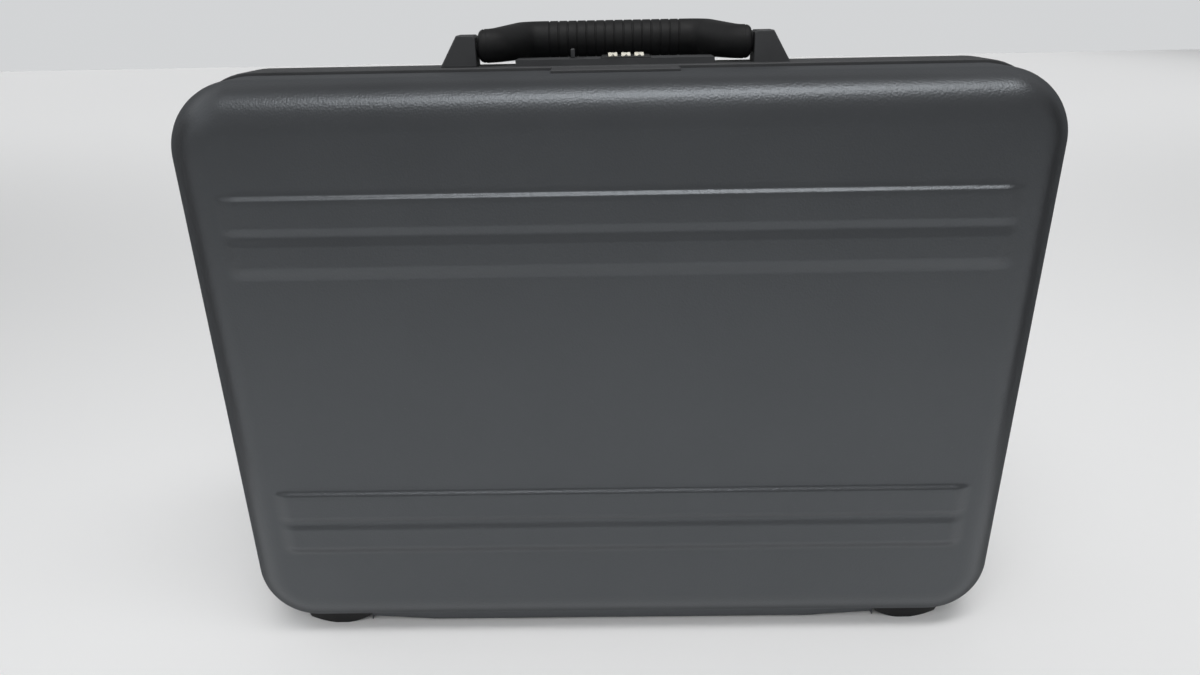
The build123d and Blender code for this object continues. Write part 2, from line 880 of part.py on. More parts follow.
def plate_screw_row(radius, below):
    """Screws that hold the back plate of the lock."""
    low = lock_bottom_z - below
    return both_sides(rod_z(radius, low, lock_bottom_z + lock_screw_length, plate_screw_x, dial_axis_y))


def make_lock_back_plate():
    plate = block(
        -lock_plate_half_length, lock_plate_half_length,
        lock_inner_front_y + snug_gap, lock_inner_back_y - snug_gap,
        lock_bottom_z, lock_bottom_z + lock_plate_thickness,
    )
    return plate - plate_screw_row(lock_screw_radius + peg_gap, 1)


def make_lock_screws():
    side_x = lock_half_length + lock_shoulder_length / 2
    side_y = (shoulder_front_y + lock_back_y) / 2
    side_z = band_inner_z - lock_shoulder_thickness
    screws = lock_screw_row(lock_screw_radius, 0)
    screws += both_sides(rod_z(lock_screw_head_radius, side_z - lock_screw_head, side_z, side_x, side_y))
    screws += plate_screw_row(lock_screw_radius, 0)
    head_low = lock_bottom_z - lock_screw_head
    head = rod_z(lock_screw_head_radius, head_low, lock_bottom_z, plate_screw_x, dial_axis_y)
    return screws + both_sides(head)


def make_dial_axle():
    first = dial_places()[0] - dial_width / 2 - axle_overhang
    last = dial_places()[-1] + dial_width / 2 + axle_overhang
    return rod_x(axle_radius, first, last, dial_axis_y, dial_axis_z)


def make_dial(x):
    """Number wheel with a shallow notch between its ten faces."""
    left = x - dial_width / 2
    right = x + dial_width / 2
    wheel = rod_x(dial_radius, left, right, dial_axis_y, dial_axis_z)
    wheel -= rod_x(axle_radius + running_gap, left, right, dial_axis_y, dial_axis_z)
    for index in range(dial_faces):
        angle = math.radians(360 / dial_faces * (index + 0.5))
        y = dial_axis_y + dial_radius * math.sin(angle)
        z = dial_axis_z + dial_radius * math.cos(angle)
        wheel -= rod_x(dial_notch_radius, left, right, y, z)
    return wheel


def make_release_knob():
    top = block(
        knob_x - knob_width / 2, knob_x + knob_width / 2,
        knob_middle_y - knob_depth / 2, knob_middle_y + knob_depth / 2,
        lock_top_z + moving_gap, top_z + knob_top_height,
    )
    top = fillet(top.faces().sort_by(Axis.Z)[-1].edges(), knob_round)
    stem = block(
        knob_x - knob_width / 2, knob_x + knob_width / 2,
        bar_back_y - bar_depth, bar_back_y,
        bar_top_z, lock_top_z + moving_gap,
    )
    return top + stem


def make_release_bar():
    """Bar under the dials with two hooks that reach for the strikers."""
    right = lock_cavity_half_length - release_travel - bar_end_gap
    bar = block(bar_left_x, right, bar_back_y - bar_depth, bar_back_y, bar_bottom_z, bar_top_z)
    finger_top = striker_middle_z + hook_finger_height / 2
    for side in (-1, 1):
        left = side * striker_x - hook_start
        bar += block(left, left + hook_thickness, hook_front_y, bar_back_y, bar_bottom_z, finger_top)
        bar += block(
            left, left + hook_thickness + hook_reach,
            hook_front_y, hook_back_y,
            finger_top - hook_finger_height, finger_top,
        )
    return bar


def make_lock_spring():
    """Bent leaf spring on the back plate, under the release bar."""
    floor_z = lock_bottom_z + lock_plate_thickness
    crest_z = bar_bottom_z - moving_gap
    half = spring_half_length
    lower = [(-half, floor_z), (-half / 2, floor_z), (0, crest_z - spring_thickness), (half, floor_z)]
    upper = [(half, floor_z + spring_thickness), (0, crest_z), (-half / 2, floor_z + spring_thickness)]
    upper.append((-half, floor_z + spring_thickness))
    side = Plane(origin=(0, bar_back_y, 0), x_dir=(1, 0, 0), z_dir=(0, -1, 0))
    return extrude(side * make_face(Polyline(lower + upper + [lower[0]])), spring_width)


# Strike plate and strikers

strike_front_y = front_y + edge_rounding + strike_front_gap


def strike_pegs(radius):
    y = (strike_front_y + lid_rim_y) / 2
    return both_sides(rod_z(radius, top_z - shell_wall, top_z, strike_peg_x, y))


def make_strike_plate():
    plate = block(
        -strike_half_length, strike_half_length,
        strike_front_y, band_front_y - strike_back_gap,
        top_z, top_z + strike_thickness,
    )
    front_edges = plate.faces().sort_by(Axis.Y)[0].edges().sort_by(Axis.Z)[-1]
    plate = fillet(front_edges, strike_round)
    return plate + strike_pegs(strike_peg_radius)


def striker_pegs(x, radius):
    pegs = Part()
    for step in (-1, 1):
        peg_x = x + step * striker_peg_x
        pegs += rod_y(radius, lid_rim_y - flange_thickness, lid_rim_y, peg_x, striker_middle_z)
    return pegs


def make_striker(x):
    """Tongue with a window for the hook, on a small pad."""
    half = striker_thickness / 2
    window_back = hook_back_y + striker_window_gap
    low = striker_top_z - striker_height
    tongue = block(x - half, x + half, lid_rim_y, window_back + striker_tip_length, low, striker_top_z)
    tongue -= block(
        x - half, x + half,
        hook_front_y - striker_window_gap, window_back,
        striker_middle_z - striker_window_height / 2, striker_middle_z + striker_window_height / 2,
    )
    pad = block(
        x - striker_pad_half, x + striker_pad_half,
        lid_rim_y, lid_rim_y + striker_pad_thickness,
        low, striker_top_z,
    )
    return tongue + pad + striker_pegs(x, striker_peg_radius)


# Inside

def lining(y_low, y_high):
    """Thin tray inside a shell."""
    outside = shell_wall + soft_gap
    tray = case_form(outside) - case_form(outside + lining_thickness)
    return tray & region(y_low, y_high)


def make_lid_lining():
    return lining(front_y, lid_rim_y - lid_web_length - soft_gap)


def make_base_lining():
    return lining(band_back_y + base_tongue_length + soft_gap, back_y)


def make_document_pocket():
    """Flat pocket on the lid lining, open at the top."""
    wall_y = front_y + shell_wall + soft_gap + lining_thickness
    pocket_half_width = case_width / 2 - pocket_side_inset
    pocket_top = case_height - pocket_top_inset
    height = pocket_top - pocket_bottom
    middle = bottom_z + (pocket_top + pocket_bottom) / 2
    outside = front_plane(wall_y + pocket_thickness, middle) * RectangleRounded(
        2 * pocket_half_width, height, pocket_corner)
    pocket = extrude(outside, pocket_thickness)
    inside = block(
        -pocket_half_width + pocket_corner, pocket_half_width - pocket_corner,
        wall_y + pocket_wall, wall_y + pocket_thickness - pocket_wall,
        bottom_z + pocket_bottom + pocket_wall, bottom_z + pocket_top + 1,
    )
    return pocket - inside


strap_wall_y = back_y - shell_wall - soft_gap - lining_thickness
strap_z = top_z - strap_top_inset
strap_half_length = case_width / 2 - strap_side_inset


def make_document_strap():
    half = strap_width / 2
    return block(
        -strap_half_length, strap_half_length,
        strap_wall_y - strap_thickness, strap_wall_y,
        strap_z - half, strap_z + half,
    )


def make_strap_anchors():
    """Plates that clamp the ends of the strap to the lining."""
    half = anchor_width / 2
    face_y = strap_wall_y - strap_thickness
    return both_sides(block(
        strap_half_length - anchor_length, strap_half_length,
        face_y - anchor_thickness, face_y,
        strap_z - half, strap_z + half,
    ))


def make_strap_buckle():
    half_length = buckle_length / 2
    half_width = buckle_width / 2
    face_y = strap_wall_y - strap_thickness
    frame = block(
        -half_length, half_length,
        face_y - buckle_thickness, face_y,
        strap_z - half_width, strap_z + half_width,
    )
    frame = fillet(frame.edges().filter_by(Axis.Y), buckle_bar / 2)
    gap = (buckle_length - 3 * buckle_bar) / 2
    for side in (-1, 1):
        middle_x = side * (gap + buckle_bar) / 2
        frame -= block(
            middle_x - gap / 2, middle_x + gap / 2,
            face_y - buckle_thickness - 1, face_y + 1,
            strap_z - half_width + buckle_bar, strap_z + half_width - buckle_bar,
        )
    return frame


def left_and_right(name, solid):
    """A right-hand piece and its mirror image, as two nodes."""
    return {name + "_right": solid, name + "_left": mirror(solid, Plane.YZ)}


parts = {
    "lid_shell": make_lid_shell(),
    "lid_frame": make_lid_frame(),
    "lid_seal": make_lid_seal(),
    "hinge_lid_leaf": make_hinge_lid_leaf(),
    "hinge_lid_rivets": make_hinge_lid_rivets(),
    "lid_foot_screws": make_front_foot_screws(),
    "strike_plate": make_strike_plate(),
    "striker_right": make_striker(striker_x),
    "striker_left": make_striker(-striker_x),
    "lid_lining": make_lid_lining(),
    "document_pocket": make_document_pocket(),
    "base_shell": make_base_shell(),
    "base_frame": make_base_frame(),
    "hinge_base_leaf": make_hinge_base_leaf(),
    "hinge_base_rivets": make_hinge_base_rivets(),
    "hinge_pin": make_hinge_pin(),
    "base_foot_screws": mirror(make_front_foot_screws(), Plane.XZ),
    "post_screws": make_post_screws(),
    "lock_housing": make_lock_housing(),
    "lock_bezel": make_lock_bezel(),
    "lock_back_plate": make_lock_back_plate(),
    "lock_screws": make_lock_screws(),
    "lock_spring": make_lock_spring(),
    "dial_axle": make_dial_axle(),
    "release_knob": make_release_knob(),
    "release_bar": make_release_bar(),
    "base_lining": make_base_lining(),
    "document_strap": make_document_strap(),
    "strap_anchors": make_strap_anchors(),
    "strap_buckle": make_strap_buckle(),
    "handle_core": make_handle_core(),
    "handle_grip": make_handle_grip(),
}
parts.update(left_and_right("lid_foot", make_front_foot()))
parts.update(left_and_right("base_foot", mirror(make_front_foot(), Plane.XZ)))
parts.update(left_and_right("stay", make_stay()))
parts.update(left_and_right("stay_lid_pivot", make_stay_lid_pivot()))
parts.update(left_and_right("stay_base_stud", make_stay_base_stud()))
parts.update(left_and_right("handle_post", make_post()))
parts.update(left_and_right("handle_pin", make_handle_pin()))
parts.update(left_and_right("ferrule", make_ferrule()))
for number, place in enumerate(dial_places(), start=1):
    parts[f"dial_wheel_{number}"] = make_dial(place)

os.makedirs("parts", exist_ok=True)
for name, solid in parts.items():
    export_step(solid, f"parts/{name}.step")
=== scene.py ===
import json
import math
import bmesh
import bpy
import numpy as np
from mathutils import Matrix, Vector

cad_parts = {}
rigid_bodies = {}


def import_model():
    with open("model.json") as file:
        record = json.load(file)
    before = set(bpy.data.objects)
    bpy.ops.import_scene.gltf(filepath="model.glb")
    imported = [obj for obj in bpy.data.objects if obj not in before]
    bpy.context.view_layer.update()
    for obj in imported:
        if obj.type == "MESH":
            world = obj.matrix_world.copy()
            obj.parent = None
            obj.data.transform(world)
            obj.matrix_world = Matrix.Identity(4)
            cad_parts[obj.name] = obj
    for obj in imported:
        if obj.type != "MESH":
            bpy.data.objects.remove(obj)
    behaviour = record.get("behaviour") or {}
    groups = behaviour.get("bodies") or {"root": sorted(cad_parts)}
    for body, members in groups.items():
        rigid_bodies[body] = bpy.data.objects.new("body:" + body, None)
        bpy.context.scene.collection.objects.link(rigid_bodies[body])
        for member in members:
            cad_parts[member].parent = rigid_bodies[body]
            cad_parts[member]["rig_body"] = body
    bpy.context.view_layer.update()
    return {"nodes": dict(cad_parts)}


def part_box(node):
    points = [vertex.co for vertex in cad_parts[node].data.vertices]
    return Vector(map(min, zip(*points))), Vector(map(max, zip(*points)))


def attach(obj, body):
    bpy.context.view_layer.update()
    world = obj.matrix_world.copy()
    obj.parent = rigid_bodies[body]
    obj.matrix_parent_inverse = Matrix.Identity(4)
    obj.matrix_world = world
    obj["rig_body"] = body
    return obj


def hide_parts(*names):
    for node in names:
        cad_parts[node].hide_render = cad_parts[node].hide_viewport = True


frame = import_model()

# Attache case, standing. Metres, X width, -Y front, Z up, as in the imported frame.
print("frame loaded:", len(frame["nodes"]), "nodes")

mm = 0.001
caseForm = {
    "halfWidth": 230.0 * mm,
    "halfHeight": 166.0 * mm,
    "middleZ": 172.0 * mm,
    "halfDepth": 56.0 * mm,
    "cornerRadius": 37.4 * mm,
    "edgeRounding": 24.4 * mm,
    # along the seam: the lid's rim, the front of the band, the base's rim
    "lidRimY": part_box("lid_frame")[1][1],
    "bandFrontY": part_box("base_frame")[0][1],
    "baseRimY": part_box("base_shell")[0][1],
}


# Shader maths: a wrapped socket with arithmetic, in one small class

class Wire:
    def __init__(self, tree, socket):
        self.tree = tree
        self.socket = socket

    def maths(self, operation, *values):
        return addNode(self.tree, "ShaderNodeMath", {"operation": operation}, dict(enumerate(values)))

    def __add__(self, other):
        return self.maths("ADD", self, other)

    def __mul__(self, other):
        return self.maths("MULTIPLY", self, other)


def addNode(tree, kind, settings=None, inputs=None, out=0):
    # A node with its settings; an input that is a wire is linked, any other is set
    node = tree.nodes.new(kind)
    for key, value in (settings or {}).items():
        if key == "stops":  # a ramp's stops, as (position, grey value)
            ramp = node.color_ramp
            while len(ramp.elements) < len(value):
                ramp.elements.new(0.5)
            for element, (position, grey) in zip(ramp.elements, value):
                element.position = position
                element.color = (grey, grey, grey, 1)
        else:
            setattr(node, key, value)
    for key, value in (inputs or {}).items():
        if isinstance(value, Wire):
            tree.links.new(value.socket, node.inputs[key])
        else:
            node.inputs[key].default_value = value
    return Wire(tree, node.outputs[out])


def startMaterial(name, settings):
    # A Principled material with its fixed values set on the shader's own sockets
    material = bpy.data.materials.new(name)
    material.use_nodes = True
    tree = material.node_tree
    shader = tree.nodes["Principled BSDF"]
    for key, value in settings.items():
        shader.inputs[key].default_value = value
    return material, tree, shader


def feed(tree, shader, **wires):
    names = {"color": "Base Color", "roughness": "Roughness", "normal": "Normal"}
    for key, wire in wires.items():
        tree.links.new(wire.socket, shader.inputs[names[key]])


def place(tree, scale=(1, 1, 1)):
    # Object coordinates, stretched
    coordinates = addNode(tree, "ShaderNodeTexCoord", out=3)
    return addNode(tree, "ShaderNodeMapping", inputs={0: coordinates, 3: scale})


def noise(tree, where, scale, detail=2.0, roughness=0.5):
    return addNode(tree, "ShaderNodeTexNoise", inputs={
        "Vector": where, "Scale": scale, "Detail": detail, "Roughness": roughness})


def grains(tree, where, scale, smooth=0.6):
    # Distance to the nearest cell centre: small rounded pebbles
    return addNode(tree, "ShaderNodeTexVoronoi", {"feature": "SMOOTH_F1"}, {
        "Vector": where, "Scale": scale, "Smoothness": smooth})


def mixColors(tree, factor, first, second):
    return addNode(tree, "ShaderNodeMix", {"data_type": "RGBA"}, {0: factor, 6: first, 7: second}, out=2)


def bump(tree, height, distance, strength):
    return addNode(tree, "ShaderNodeBump", inputs={
        "Strength": strength, "Distance": distance, "Height": height})


def ramp(tree, value, stops):
    return addNode(tree, "ShaderNodeValToRGB", {"stops": stops}, {0: value})


def fade(tree, value, start, end):
    # From 0 where the value is at start to 1 where it is at end, smoothly
    return addNode(tree, "ShaderNodeMapRange", {"interpolation_type": "SMOOTHSTEP"}, {
        0: value, 1: start, 2: end})


def duller(tree, start, end, amount):
    # Extra roughness where a grained surface is seen edge on, because its grain hides its gloss there
    facing = addNode(tree, "ShaderNodeLayerWeight", inputs={"Blend": 0.5}, out=1)
    return fade(tree, facing, start, end) * amount


def rgb(red, green, blue):
    return (red, green, blue, 1.0)


def tinted(color, tint):
    return rgb(*(channel * tint for channel in color[:3]))


# Materials

shellFinish = {
    "dark": rgb(0.0235, 0.0242, 0.0258),
    "light": rgb(0.031, 0.032, 0.034),
    "scuff": rgb(0.075, 0.078, 0.084),
    "scuffShare": 0.35,
    "gloss": {"IOR": 1.8, "Specular Tint": rgb(0.88, 0.94, 1.0)},
    # how many to the metre: pebbles, fine grain, scuffs, cloudy swell
    "pebbles": 900.0,
    "fine": 2600.0,
    "scuffs": 420.0,
    "swell": 22.0,
    "pebbleShare": 0.8,
    "fineShare": 0.25,
    "grainDepth": 0.00016,
    "grainStrength": 0.6,
    "roughLow": 0.29,
    "roughHigh": 0.39,
    # seen edge on: where the extra roughness starts and ends, and how much it is
    "edgeDull": (0.38, 0.8, 0.5),
}


def shellMaterial():
    # Moulded plastic: pebble grain over a faint larger swell, small rubbed specks, cloudy tone
    f = shellFinish
    material, tree, shader = startMaterial("shellPebble", f["gloss"])
    where = place(tree)
    pebbles = grains(tree, where, f["pebbles"])
    fine = noise(tree, where, f["fine"], 2.0, 0.6)
    swell = noise(tree, where, f["swell"], 3.0, 0.5)
    specks = ramp(tree, noise(tree, where, f["scuffs"], 4.0, 0.65), [(0.66, 0.0), (0.78, 1.0)])
    tone = mixColors(tree, swell, f["dark"], f["light"])
    tone = mixColors(tree, specks * f["scuffShare"], tone, f["scuff"])
    span = f["roughHigh"] - f["roughLow"]
    rough = fine * (span * 0.6) + swell * (span * 0.4) + f["roughLow"] + duller(tree, *f["edgeDull"])
    height = pebbles * f["pebbleShare"] + fine * f["fineShare"]
    feed(tree, shader, color=tone, roughness=rough,
         normal=bump(tree, height, f["grainDepth"], f["grainStrength"]))
    return material


satinFinish = {"dark": rgb(0.034, 0.035, 0.037), "light": rgb(0.053, 0.0545, 0.057), "grains": 1900.0,
               "clouds": 60.0, "grainDepth": 0.00012, "edgeDull": (0.5, 0.9, 0.35)}


def satinMaterial(name, tint, rough):
    # Fine-grained black-grey plastic of frame, posts and lock
    material, tree, shader = startMaterial(name, {"IOR": 1.49})
    where = place(tree)
    fine = noise(tree, where, satinFinish["grains"], 2.0, 0.6)
    cloud = noise(tree, where, satinFinish["clouds"], 3.0, 0.5)
    tone = mixColors(tree, cloud, tinted(satinFinish["dark"], tint), tinted(satinFinish["light"], tint))
    feed(tree, shader, color=tone,
         roughness=fine * 0.12 + cloud * 0.08 + rough + duller(tree, *satinFinish["edgeDull"]),
         normal=bump(tree, fine, satinFinish["grainDepth"], 0.5))
    return material


rubberFinish = {"dark": rgb(0.0045, 0.0045, 0.0049), "light": rgb(0.0095, 0.0095, 0.01), "rough": 0.55,
                "mottle": 1500.0, "dusting": 160.0, "grainDepth": 0.00005}


def rubberMaterial(name):
    # Soft black rubber: fine mottle, a little dust in cloudy patches
    material, tree, shader = startMaterial(name, {"IOR": 1.46})
    where = place(tree)
    fine = noise(tree, where, rubberFinish["mottle"], 3.0, 0.6)
    dust = ramp(tree, noise(tree, where, rubberFinish["dusting"], 5.0, 0.6), [(0.45, 0.0), (0.8, 1.0)])
    tone = mixColors(tree, dust, rubberFinish["dark"], rubberFinish["light"])
    feed(tree, shader, color=tone, roughness=dust * 0.15 + fine * 0.12 + rubberFinish["rough"],
         normal=bump(tree, fine, rubberFinish["grainDepth"], 0.5))
    return material


ivoryFinish = {"clean": rgb(0.82, 0.80, 0.72), "aged": rgb(0.62, 0.52, 0.33), "rough": 0.28}


def ivoryMaterial():
    # Number wheels: ivory plastic, browned in cloudy patches
    material, tree, shader = startMaterial("ivoryPlastic", {"IOR": 1.5})
    where = place(tree)
    age = ramp(tree, noise(tree, where, 300.0, 4.0, 0.6), [(0.35, 0.0), (0.85, 1.0)])
    tone = mixColors(tree, age * 0.5, ivoryFinish["clean"], ivoryFinish["aged"])
    feed(tree, shader, color=tone, roughness=age * 0.2 + ivoryFinish["rough"])
    return material


inkFinish = {"fresh": rgb(0.01, 0.01, 0.011), "worn": rgb(0.03, 0.03, 0.03), "rough": 0.35}


def inkMaterial():
    material, tree, shader = startMaterial("digitInk", {})
    wear = noise(tree, place(tree), 900.0, 3.0, 0.6)
    tone = mixColors(tree, wear, inkFinish["fresh"], inkFinish["worn"])
    feed(tree, shader, color=tone, roughness=wear * 0.3 + inkFinish["rough"])
    return material


steelFinish = {"bright": rgb(0.62, 0.62, 0.63), "dull": rgb(0.40, 0.40, 0.41), "rough": 0.16,
               "lines": 900.0, "clouds": 90.0, "lineDepth": 0.00002}


def steelMaterial(name, across):
    # Plated steel with fine drawn lines and a cloudy plating
    material, tree, shader = startMaterial(name, {"Metallic": 1.0})
    lines = noise(tree, place(tree, across), steelFinish["lines"], 2.0, 0.5)
    cloud = noise(tree, place(tree), steelFinish["clouds"], 4.0, 0.6)
    tone = mixColors(tree, cloud, steelFinish["dull"], steelFinish["bright"])
    feed(tree, shader, color=tone, roughness=lines * 0.2 + cloud * 0.15 + steelFinish["rough"],
         normal=bump(tree, lines, steelFinish["lineDepth"], 0.4))
    return material


clothFinish = {"low": rgb(0.020, 0.021, 0.024), "high": rgb(0.050, 0.052, 0.058), "rough": 0.75,
               "weaveDepth": 0.00012, "sheen": {"Sheen Weight": 0.25, "Sheen Roughness": 0.5}}


def clothMaterial(name, tint, threads):
    # Plain weave: two crossed waves make threads, noise roughens them
    material, tree, shader = startMaterial(name, clothFinish["sheen"])
    where = place(tree)
    threadsAtOne = 6.3  # threads to the metre at a scale of 1: 3.18 bands, two threads to a band
    waves = []
    for direction in ("X", "Z"):
        settings = {"wave_type": "BANDS", "bands_direction": direction}
        waves.append(addNode(tree, "ShaderNodeTexWave", settings, {
            "Vector": where, "Scale": threads / threadsAtOne, "Distortion": 0.6, "Detail": 1.0}, out=1))
    fuzz = noise(tree, where, 2400.0, 3.0, 0.7)
    weave = waves[0] * waves[1] + fuzz * 0.35
    low, high = tinted(clothFinish["low"], tint), tinted(clothFinish["high"], tint)
    tone = mixColors(tree, weave * 0.8, low, high)
    feed(tree, shader, color=tone, roughness=fuzz * 0.15 + clothFinish["rough"],
         normal=bump(tree, weave, clothFinish["weaveDepth"], 0.7))
    return material


# satin: name, tint, roughness; steel: name, stretch; cloth: name, tint, threads to the metre
materials = {
    "shell": shellMaterial(),
    "satin": satinMaterial("satinPlastic", 1.0, 0.42),
    "satinDark": satinMaterial("satinPlasticDark", 0.3, 0.48),
    "ferrule": satinMaterial("ferrulePlastic", 0.35, 0.36),
    "rubber": rubberMaterial("gripRubber"),
    "footRubber": rubberMaterial("footRubber"),
    "ivory": ivoryMaterial(),
    "ink": inkMaterial(),
    "steel": steelMaterial("zincSteel", (1, 1, 1)),
    "drawnSteel": steelMaterial("drawnSteel", (0.05, 1, 1)),
    "lining": clothMaterial("liningCloth", 1.0, 1500.0),
    "pocket": clothMaterial("pocketCloth", 0.75, 1100.0),
    "webbing": clothMaterial("strapWebbing", 0.45, 700.0),
}
print("materials made:", len(materials))


# Mesh helpers: distances in metres, angles in degrees

meshForm = {"weld": 0.00001, "fineWeld": 0.000002, "tubeWeld": 0.000004, "sharp": 35.0, "tubeSharp": 50.0,
            "flatWithin": 0.5}


def newObject(name, data):
    holder = bpy.data.objects.new(name, data)
    bpy.context.scene.collection.objects.link(holder)
    return holder


def gridFaces(rows, columns, closeRows=False, closeColumns=False):
    # Quads between neighbouring points of a rows by columns grid
    rowEnd = rows if closeRows else rows - 1
    columnEnd = columns if closeColumns else columns - 1
    r, c = np.meshgrid(np.arange(rowEnd), np.arange(columnEnd), indexing="ij")
    r2 = (r + 1) % rows
    c2 = (c + 1) % columns
    corners = [r * columns + c, r * columns + c2, r2 * columns + c2, r2 * columns + c]
    return np.stack(corners, -1).reshape(-1, 4)


def smoothMesh(mesh, sharp):
    mesh.polygons.foreach_set("use_smooth", [True] * len(mesh.polygons))
    mesh.set_sharp_from_angle(angle=math.radians(sharp))


def finishMesh(mesh, weld, sharp):
    # Doubles merged, faces turned outwards, smooth up to an angle
    work = bmesh.new()
    work.from_mesh(mesh)
    bmesh.ops.remove_doubles(work, verts=work.verts, dist=weld)
    bmesh.ops.dissolve_degenerate(work, edges=work.edges, dist=weld / 2)
    bmesh.ops.recalc_face_normals(work, faces=work.faces)
    work.to_mesh(mesh)
    work.free()
    smoothMesh(mesh, sharp)
    mesh.update()


def settle(piece, body, material, replaced=(), bevel=0.0):
    # Gives a piece its material, broken edges and body, and hides the nodes it stands for
    piece.data.materials.clear()
    piece.data.materials.append(material)
    if bevel:
        edge = piece.modifiers.new("edge", "BEVEL")
        edge.width = bevel
        edge.segments = 2
        edge.limit_method = "ANGLE"
        edge.angle_limit = math.radians(meshForm["sharp"])
        edge.use_clamp_overlap = True
        edge.harden_normals = True
    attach(piece, body)
    if replaced:
        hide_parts(*replaced)


def makePiece(name, points, faces, body, material, replaced=(), weld=meshForm["weld"],
              solid=0.0):
    # Piece from a grid of points and its faces, with a wall inwards if solid is given
    mesh = bpy.data.meshes.new(name)
    mesh.from_pydata(points.reshape(-1, 3).tolist(), [], faces.tolist())
    finishMesh(mesh, weld, meshForm["sharp"])
    piece = newObject(name, mesh)
    if solid:
        wall = piece.modifiers.new("wall", "SOLIDIFY")
        wall.thickness = solid
        wall.offset = -1.0
        wall.use_even_offset = True
    settle(piece, body, material, replaced)


def dressNode(node, material, bevel):
    # Copy of a CAD node, merged, its flat faces joined, its edges broken
    source = frame["nodes"][node]
    mesh = source.data.copy()
    mesh.name = node + "Dressed"
    work = bmesh.new()
    work.from_mesh(mesh)
    bmesh.ops.remove_doubles(work, verts=work.verts, dist=meshForm["fineWeld"])
    flatWithin = math.radians(meshForm["flatWithin"])
    bmesh.ops.dissolve_limit(work, angle_limit=flatWithin, verts=work.verts, edges=work.edges)
    work.to_mesh(mesh)
    work.free()
    smoothMesh(mesh, meshForm["sharp"])
    piece = newObject(mesh.name, mesh)
    settle(piece, source["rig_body"], material, (node,), bevel)
    return piece


def smoothStep(low, high, value):
    # 0 up to low, 1 from high on, and level where it meets both
    t = np.clip((value - low) / (high - low), 0, 1)
    return t * t * (3 - 2 * t)


# Shells: one surface over the whole face, its rounding and its side

ribForm = {
    "halfLength": 205.4 * mm,
    "endTaper": 12.0 * mm,
    "relief": 2.5 * mm,
    "grooveDepth": 1.2 * mm,
    "grooveHalf": 5.2 * mm,
    # a slope is one steep step and one soft step laid over it; the lower slopes are all soft
    "steepWidth": 3.0 * mm,
    "softWidth": 8.5 * mm,
    "steepShare": 0.75,
    "lowerShare": 0.0,
    # heights from the middle of the case: upper slope, valley, lower slope
    "groups": [(110.4 * mm, 90.2 * mm, 70.3 * mm), (-64.2 * mm, -84.4 * mm, -104.1 * mm)],
    # grid lines laid across each of them, and how far out, as a share of the soft width
    "lines": 35,
    "lineReach": 0.7,
}


def ribSlope(distance, share):
    # From 0 to 1 across a slope: a steep smooth step plus a wider, softer one
    f = ribForm
    steep = smoothStep(-f["steepWidth"] / 2, f["steepWidth"] / 2, distance)
    soft = smoothStep(-f["softWidth"] / 2, f["softWidth"] / 2, distance)
    return share * steep + (1 - share) * soft


def ribRelief(x, z):
    # A slope up, a rounded valley, a slope down; all faded out at both ends
    relief = np.zeros_like(z)
    for top, dip, bottom in ribForm["groups"]:
        hollow = 1 - smoothStep(0, ribForm["grooveHalf"], np.abs(z - dip))
        raised = ribSlope(top - z, ribForm["steepShare"]) - ribSlope(bottom - z, ribForm["lowerShare"])
        relief += ribForm["relief"] * raised - ribForm["grooveDepth"] * hollow
    ends = 1 - smoothStep(ribForm["halfLength"] - ribForm["endTaper"], ribForm["halfLength"], np.abs(x))
    return relief * ends


def shellLines(inner, steps):
    # Grid lines across the flat middle, dense across each step of the ribs
    evenLines = 18
    closest = 0.2 * mm
    lines = [np.linspace(-inner, inner, evenLines)]
    for centre, width, count in steps:
        lines.append(np.linspace(centre - width, centre + width, count))
    lines = np.unique(np.round(np.concatenate(lines), 6))
    lines = lines[(lines >= -inner) & (lines <= inner)]
    keep = [lines[0]]
    for value in lines[1:]:
        if value - keep[-1] > closest:
            keep.append(value)
    keep[-1] = inner
    return np.array(keep)


def radialLines(inset, rimY, flatSteps, lip, roundSteps=14, sideSteps=5):
    # From a corner's centre: distance outwards and depth, over the flat, the rounding, the side
    # and a small lip
    flat = caseForm["cornerRadius"] - caseForm["edgeRounding"]
    rounding = caseForm["edgeRounding"] - inset
    faceY = -caseForm["halfDepth"] + inset
    reach = [np.linspace(0, flat, flatSteps + 1)[1:]]
    depth = [np.full(flatSteps, faceY)]
    angles = np.linspace(0, math.pi / 2, roundSteps + 1)[1:]
    reach.append(flat + rounding * np.sin(angles))
    depth.append(faceY + rounding * (1 - np.cos(angles)))
    sides = np.linspace(faceY + rounding, rimY - lip, sideSteps + 1)[1:]
    reach.append(np.full(sideSteps, flat + rounding))
    depth.append(sides)
    if lip:
        turn = np.linspace(0, math.pi / 2, 4)[1:]
        reach.append(flat + rounding - lip * (1 - np.cos(turn)))
        depth.append(rimY - lip + lip * np.sin(turn))
    return np.concatenate(reach), np.concatenate(depth)


